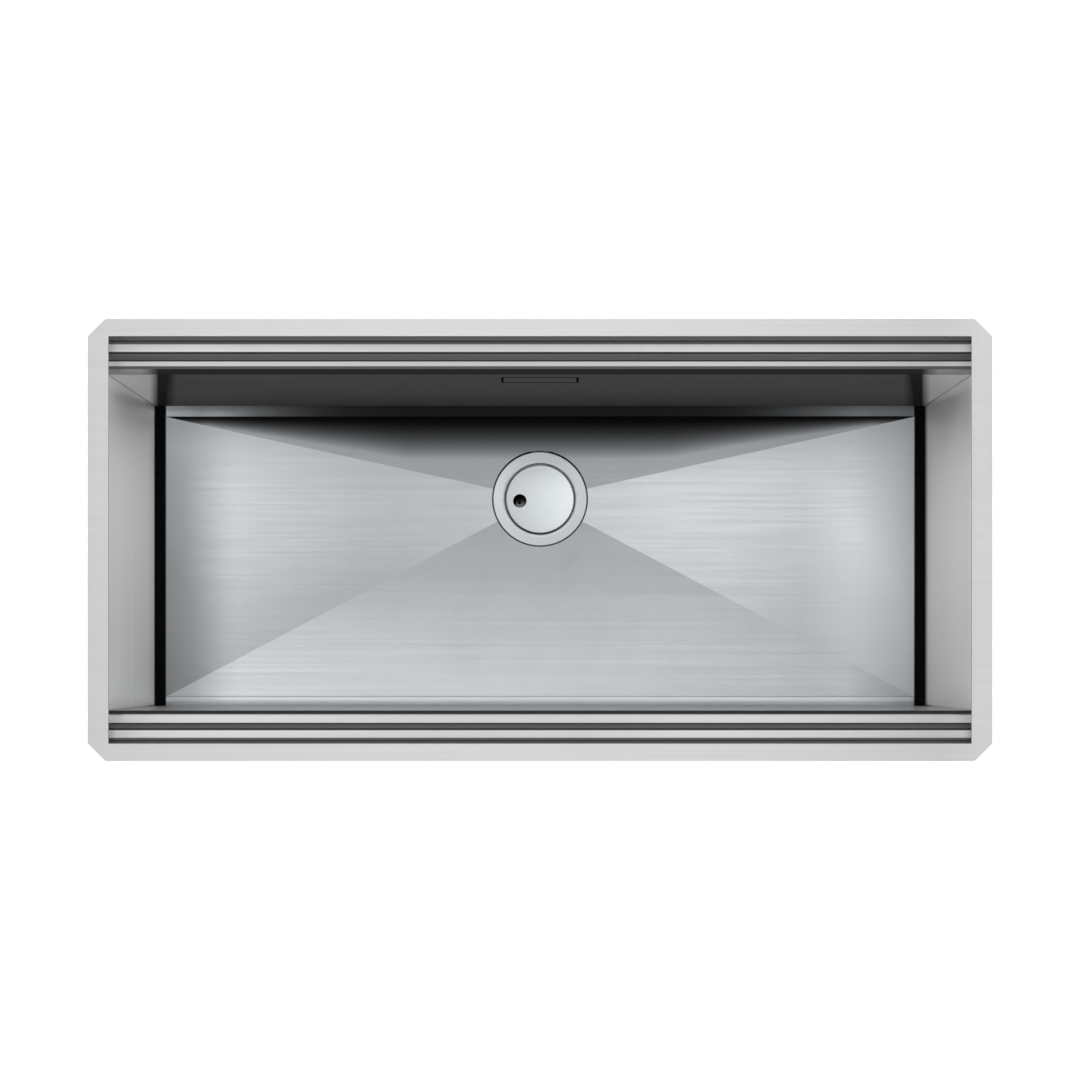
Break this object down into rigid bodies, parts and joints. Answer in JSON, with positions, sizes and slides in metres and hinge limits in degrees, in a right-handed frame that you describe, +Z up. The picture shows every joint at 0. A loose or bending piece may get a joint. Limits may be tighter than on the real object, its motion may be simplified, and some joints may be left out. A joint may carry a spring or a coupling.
{
  "type": "undermount kitchen sink",
  "caption": "Deep single-bowl undermount sink with stepped front and rear ledges, a creased floor, a basket waste with a lid, and a rear overflow.",
  "frame": {"origin": "centre of the bowl's opening, in the plane of the rim's upper face, which lies against the worktop", "axes": "+X along the rim to the right as seen from the front, +Y to the back, +Z up"},
  "size_m": [0.9, 0.44, 0.298],
  "materials": {
    "rim_steel": "satin brushed stainless",
    "bowl_steel": "satin brushed stainless",
    "waste_steel": "satin stainless",
    "lid_steel": "satin stainless",
    "basket_steel": "polished stainless",
    "fastener_steel": "bright zinc",
    "insert_brass": "turned brass",
    "sound_pad": "textured rubber sheet",
    "black_rubber": "moulded rubber",
    "grey_foam": "closed-cell foam",
    "white_plastic": "moulded polypropylene",
    "black_plastic": "moulded polypropylene"
  },
  "bodies": {
    "root": {"rim_flange": "rim_steel", "rear_upper_ledge": "bowl_steel", "rear_lower_ledge": "bowl_steel", "rear_wall": "bowl_steel", "front_upper_ledge": "bowl_steel", "front_lower_ledge": "bowl_steel", "front_wall": "bowl_steel", "left_wall": "bowl_steel", "right_wall": "bowl_steel", "floor_pan": "bowl_steel", "pad_left": "sound_pad", "pad_right": "sound_pad", "pad_front": "sound_pad", "pad_rear": "sound_pad", "pad_floor_left": "sound_pad", "pad_floor_right": "sound_pad", "pad_floor_front": "sound_pad", "pad_floor_rear": "sound_pad", "waste_flange": "waste_steel", "waste_top_gasket": "grey_foam", "waste_bottom_gasket": "black_rubber", "waste_body": "white_plastic", "waste_screw": "fastener_steel", "waste_insert": "insert_brass", "overflow_cover": "bowl_steel", "cover_posts": "fastener_steel", "overflow_seal": "black_rubber", "overflow_box": "black_plastic", "overflow_studs": "fastener_steel", "overflow_nuts": "fastener_steel", "overflow_pipe": "white_plastic", "pipe_nut_upper": "black_plastic", "pipe_nut_lower": "black_plastic", "pipe_washers": "black_rubber"},
    "basket": {"basket": "basket_steel"},
    "stopper": {"basket_knob": "basket_steel", "basket_stem": "basket_steel", "basket_seal": "black_rubber"},
    "lid": {"waste_lid": "lid_steel"}
  },
  "joints": [
    {"name": "basket_lift", "type": "slide", "parent": "root", "child": "basket", "axis": [0, 0, 1], "range_m": [0, 0.29]},
    {"name": "stopper_lift", "type": "slide", "parent": "basket", "child": "stopper", "axis": [0, 0, 1], "range_m": [0, 0.005]},
    {"name": "lid_lift", "type": "slide", "parent": "basket", "child": "lid", "axis": [0, 0, 1], "range_m": [0, 0.24]}
  ]
}
